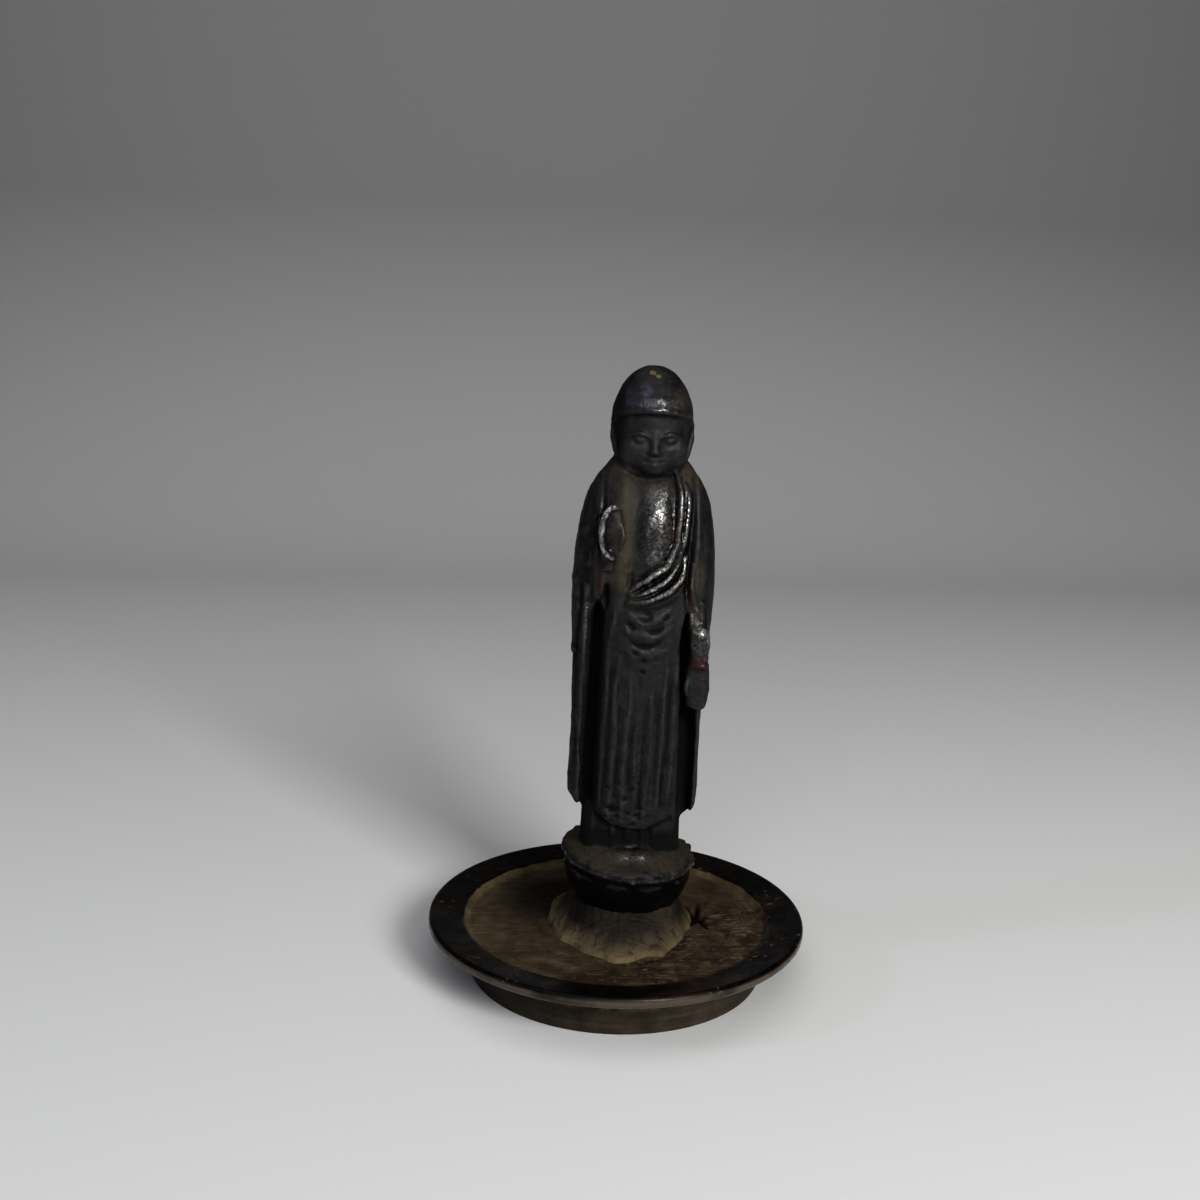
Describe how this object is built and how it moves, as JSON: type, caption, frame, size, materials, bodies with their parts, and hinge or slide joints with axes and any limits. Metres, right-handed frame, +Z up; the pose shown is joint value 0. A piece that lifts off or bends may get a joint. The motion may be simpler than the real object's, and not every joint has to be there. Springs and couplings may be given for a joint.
{
  "type": "bronze buddha statue",
  "caption": "Small cast bronze Buddha standing on a lotus seat, bedded in a filler mound on a round turned wooden stand.",
  "frame": {"origin": "middle of the stand's foot, on the surface that it stands on", "axes": "+Z up, the figure looks along -Y, its own left hand is towards +X"},
  "size_m": [0.068, 0.068, 0.1086],
  "materials": {
    "bronze": "dark worn patina",
    "filler": "matte",
    "stand_wood": "worn dark lacquer"
  },
  "bodies": {
    "root": {"buddha_figure": "bronze", "setting_mound": "filler", "turned_stand": "stand_wood"}
  },
  "joints": []
}
